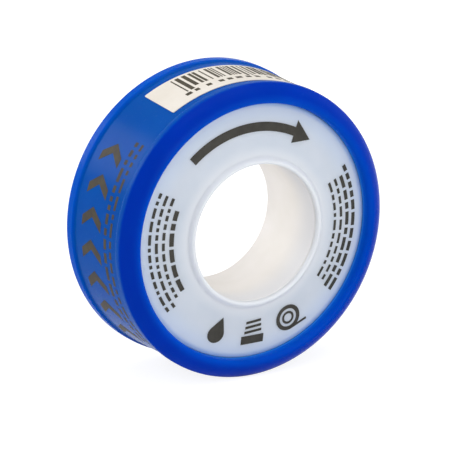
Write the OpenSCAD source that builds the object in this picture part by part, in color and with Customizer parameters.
// Thread seal tape roll: a spool of sealing tape closed in a round plastic case.
// Every piece is built along the roll's axis, from the rear end at 0 to the front,
// and the roll is then stood on its two rims with its front to -Y.

/* [Tape] */
// Width of the sealing tape
tape_w = 12; // [8:0.5:20]
// Thickness of one layer of tape
tape_t = 0.1; // [0.05:0.01:0.3]
// Outside diameter of the wound tape
winding_d = 45.8; // [40:0.2:60]

/* [Core tube] */
// Diameter of the bore through the roll
bore_d = 25; // [18:0.5:28]
// Wall of the core tube under the tape
core_wall = 1.1; // [0.9:0.1:2]
// Step from the core's barrel down to its journals
journal_step = 0.4; // [0.2:0.05:0.5]
// Rounding of the bore's rear edge
bore_round = 0.3; // [0.1:0.05:0.35]
// Chamfer of the bore's front edge, under the disc's lip
bore_chamfer = 0.2; // [0.05:0.05:0.35]

/* [Front disc] */
// Thickness of the disc
disc_t = 1; // [0.7:0.1:2]
// Rise of the dished disc from its edge to the hub
disc_rise = 1.55; // [0.5:0.05:3]
// Wall of the bead outside the core's journal
bead_wall = 0.75; // [0.4:0.05:1.5]
// Height of the bead round the bore
bead_h = 0.85; // [0.5:0.05:1.5]
// Rounding of the bead's inner edge
bead_round = 0.4; // [0.2:0.05:0.5]
// Wall of the hub boss behind the disc
boss_wall = 1.3; // [0.8:0.1:2]
// Rounding of the disc's front edge
disc_round = 0.15; // [0.1:0.05:0.5]

/* [Cover] */
// Radial width of the front ring
ring_w = 3.6; // [3:0.1:6]
// How far the ring stands ahead of the disc's edge
ring_stand = 2.1; // [1:0.1:3]
// Fall of the ring's face from its inner edge to its outer edge
ring_fall = 1.8; // [0.8:0.1:2.5]
// Bulge of the ring's face
ring_bulge = 0.2; // [0:0.05:0.5]
// Rounding of the ring's outer edge
ring_edge_round = 0.7; // [0.3:0.05:1]
// Rounding of the ring's inner edge
ring_lip_round = 0.9; // [0.3:0.05:1]
// Wall of the collar that holds the disc
collar_wall = 1; // [0.6:0.1:1.2]
// Reach of the collar behind the disc
collar_reach = 1; // [0.5:0.1:2]
// Wall of the cover round the tape
cover_wall = 1.2; // [0.8:0.1:1.5]
// Depth of the printed channel below the rims
channel_depth = 0.4; // [0.2:0.05:1]
// Width of the front rim's crown
front_rim_w = 0.7; // [0.4:0.1:2]
// Width of the rear rim, with its rounded end
rear_rim_w = 1.95; // [1.2:0.05:3]
// Width of the slope from a rim down to the channel
rim_slope_w = 1; // [0.4:0.1:2]
// Rounding of the rear rim's outer edge
rear_edge_round = 0.6; // [0.3:0.05:0.8]
// Rounding of the rear rim's inner edge
rear_inner_round = 0.3; // [0.1:0.05:0.4]
// Depth of the rear wall inside the rear rim
rear_recess = 3.6; // [2:0.1:6]
// Thickness of the rear wall
rear_wall = 1.3; // [0.8:0.1:2]
// Fillet between the rear wall and the rim
recess_fillet = 0.6; // [0.2:0.1:1.2]

/* [Label] */
// Length of the paper label round the channel
label_l = 35; // [20:1:60]
// Thickness of the label with its glue
label_t = 0.1; // [0.05:0.01:0.15]
// Angle of the label's middle, up from the right as seen from the front
label_angle = 83; // [0:1:180]
// Skew of the label on the channel
label_skew = 2.5; // [-4:0.5:4]
// Gap between the label's front corner and the front end of the channel
label_front_gap = 0.05; // [0:0.05:2]
// Gap between the label's rear corner and the rear end of the channel
label_rear_gap = 1.55; // [0:0.05:3]

/* [Fits] */
// Radial clearance of the core's journals
journal_fit = 0.06; // [0.02:0.01:0.1]
// End play at the core's shoulders
end_play = 0.05; // [0.02:0.01:0.1]
// Radial clearance of the disc in the collar
disc_fit = 0.05; // [0.03:0.01:0.3]
// Radial clearance of the wound tape in the collar
pull_gap = 0.5; // [0.3:0.05:1]
// Gap between the tape and the wall on each side
side_gap = 0.3; // [0.2:0.05:0.6]
// Gap between the tape and the core it is wound on
wrap_gap = 0.02; // [0.01:0.01:0.05]
// Set-back of the disc's lip from the bore
lip_set = 0.1; // [0:0.02:0.2]

/* [Hidden] */
$fn = 144;

// Overrun of the cuts past the faces they open
overrun = 1;
// Steps in a rounding, in a slope and in one turn of tape
round_steps = 8;
slope_steps = 10;
turn_steps = 120;
// Where the two roundings of the ring's face end, in degrees
edge_turn = 50;
lip_turn = 78;
// Depth of the core's front end below the disc's hub
lip_drop = 0.1;

// Radii
bore_r = bore_d / 2;
barrel_r = bore_r + core_wall;
journal_r = barrel_r - journal_step;
journal_hole_r = journal_r + journal_fit;
lip_r = bore_r + lip_set;
bead_r = journal_hole_r + bead_wall;
boss_r = journal_hole_r + boss_wall;
winding_r = winding_d / 2;
collar_r = winding_r + pull_gap;
disc_r = collar_r - disc_fit;
outer_r = collar_r + ring_w;
channel_r = outer_r - channel_depth;
shell_r = channel_r - cover_wall;

// Places along the axis, from the rear end
room_rear = rear_recess + rear_wall;
room_front = room_rear + tape_w + 2 * side_gap;
edge_front = room_front + disc_t;
hub_front = edge_front + disc_rise;
bead_front = hub_front + bead_h;
crest = edge_front + ring_stand;
core_front = hub_front - lip_drop - end_play;
crown_end = crest - ring_fall - ring_edge_round * sin(edge_turn);
crown_start = crown_end - front_rim_w;
channel_front = crown_start - rim_slope_w;
channel_rear = rear_rim_w + rim_slope_w;
overall_w = max(bead_front, crest);

// Points of an arc round a centre, between two angles
function arc(centre, r, from, to) = [
    for (i = [0 : round_steps])
        let (t = from + (to - from) * i / round_steps)
        centre + r * [cos(t), sin(t)]
];

// Points of a smooth slope between two radii, along the axis
function slope(r_from, r_to, from, to) = [
    for (i = [0 : slope_steps])
        let (share = i / slope_steps)
        [r_from + (r_to - r_from) * (1 - cos(180 * share)) / 2, from + (to - from) * share]
];

// Points of a smooth swell between two heights, across the radius
function swell(r_from, r_to, from, to) = [
    for (i = [0 : slope_steps])
        let (share = i / slope_steps)
        [r_from + (r_to - r_from) * share, from + (to - from) * (1 - cos(180 * share)) / 2]
];

// Points of a bulged line between two points, leaning to its right
function bulged(p, q, bulge) =
    let (along = (q - p) / norm(q - p))
    [
        for (i = [1 : slope_steps - 1])
            let (share = i / slope_steps)
            p + (q - p) * share + 4 * bulge * share * (1 - share) * [along[1], -along[0]]
    ];

// Stands a piece built along the axis on the rims, with the front to -Y
module stand() {
    translate([0, overall_w / 2, outer_r]) rotate([90, 0, 0]) children();
}

// Blue shell: rounded front ring and collar, printed channel, rear rim and recessed rear wall
module cover() {
    hole_r = journal_hole_r;
    face_edge = arc([outer_r - ring_edge_round, crown_end], ring_edge_round, 0, edge_turn);
    face_lip = arc([collar_r + ring_lip_round, crest - ring_lip_round], ring_lip_round, lip_turn, 180);
    face = bulged(face_edge[round_steps], face_lip[0], ring_bulge);
    color("#0A45BE") stand() rotate_extrude() polygon(concat(
        arc([shell_r + rear_inner_round, rear_inner_round], rear_inner_round, 180, 270),
        arc([outer_r - rear_edge_round, rear_edge_round], rear_edge_round, 270, 360),
        slope(outer_r, channel_r, rear_rim_w, channel_rear),
        slope(channel_r, outer_r, channel_front, crown_start),
        face_edge,
        face,
        face_lip,
        [
            [collar_r, room_front - collar_reach],
            [collar_r + collar_wall, room_front - collar_reach],
            [collar_r + collar_wall, crown_end],
            [shell_r, crown_end],
            [shell_r, room_rear],
            [hole_r, room_rear],
            [hole_r, rear_recess]
        ],
        arc([shell_r - recess_fillet, rear_recess - recess_fillet], recess_fillet, 90, 0)
    ));
}

// White dished disc that closes the front, with a bead round the bore and a hub boss
module front_disc() {
    bead_crest_r = lip_r + bead_round;
    inner_edge = arc([bead_crest_r, bead_front - bead_round], bead_round, 90, 180);
    dish_share = (disc_r - boss_r) / (disc_r - bead_r);
    color("#D3DCE8") stand() rotate_extrude() polygon(concat(
        arc([disc_r - disc_round, edge_front - disc_round], disc_round, 0, 90),
        swell(bead_r, bead_crest_r, hub_front, bead_front),
        [for (i = [1 : round_steps]) inner_edge[i]],
        [
            [lip_r, hub_front - lip_drop],
            [journal_hole_r, hub_front - lip_drop],
            [journal_hole_r, room_front],
            [boss_r, room_front],
            [boss_r, room_front + disc_rise * dish_share],
            [disc_r, room_front]
        ]
    ));
}

// Cream tube through the roll: a barrel for the tape between two journals
module core_tube() {
    color("#EFEAE3") stand() rotate_extrude() polygon(concat(
        arc([bore_r + bore_round, rear_recess + bore_round], bore_round, 180, 270),
        [
            [journal_r, rear_recess],
            [journal_r, room_rear + end_play],
            [barrel_r, room_rear + end_play],
            [barrel_r, room_front - end_play],
            [journal_r, room_front - end_play],
            [journal_r, core_front],
            [bore_r + bore_chamfer, core_front],
            [bore_r, core_front - bore_chamfer]
        ]
    ));
}

// Wound tape: the last turn climbs by one layer and ends in a step
module tape_winding() {
    last_turn = [
        for (i = [0 : turn_steps - 1])
            let (share = i / turn_steps)
            (winding_r - tape_t * share) * [cos(360 * share), sin(360 * share)]
    ];
    step_end = [winding_r - tape_t, 0];
    color("#F4F4F0") stand() translate([0, 0, room_rear + side_gap]) difference() {
        linear_extrude(tape_w) polygon(concat(last_turn, [step_end]));
        translate([0, 0, -overrun]) cylinder(r = barrel_r + wrap_gap, h = tape_w + 2 * overrun);
    }
}

// Paper label stuck on the channel, a little askew
module barcode_label() {
    under_r = channel_r + wrap_gap;
    over_r = under_r + label_t;
    half_chord = over_r * sin(min(90, label_l / over_r * 90 / PI));
    rear_end = channel_rear + label_rear_gap;
    front_end = channel_front - label_front_gap;
    skew_reach = half_chord * sin(abs(label_skew));
    label_w = (front_end - rear_end - 2 * skew_reach) / cos(label_skew);
    color("#EFE8E0") stand() translate([0, 0, (rear_end + front_end) / 2]) rotate([0, 0, label_angle])
        intersection() {
            difference() {
                cylinder(r = over_r, h = 2 * label_w, center = true);
                cylinder(r = under_r, h = 2 * label_w + 2 * overrun, center = true);
            }
            rotate([-label_skew, 0, 0]) translate([0, -half_chord, -label_w / 2])
                cube([outer_r, 2 * half_chord, label_w]);
        }
}

cover();
front_disc();
core_tube();
tape_winding();
barcode_label();
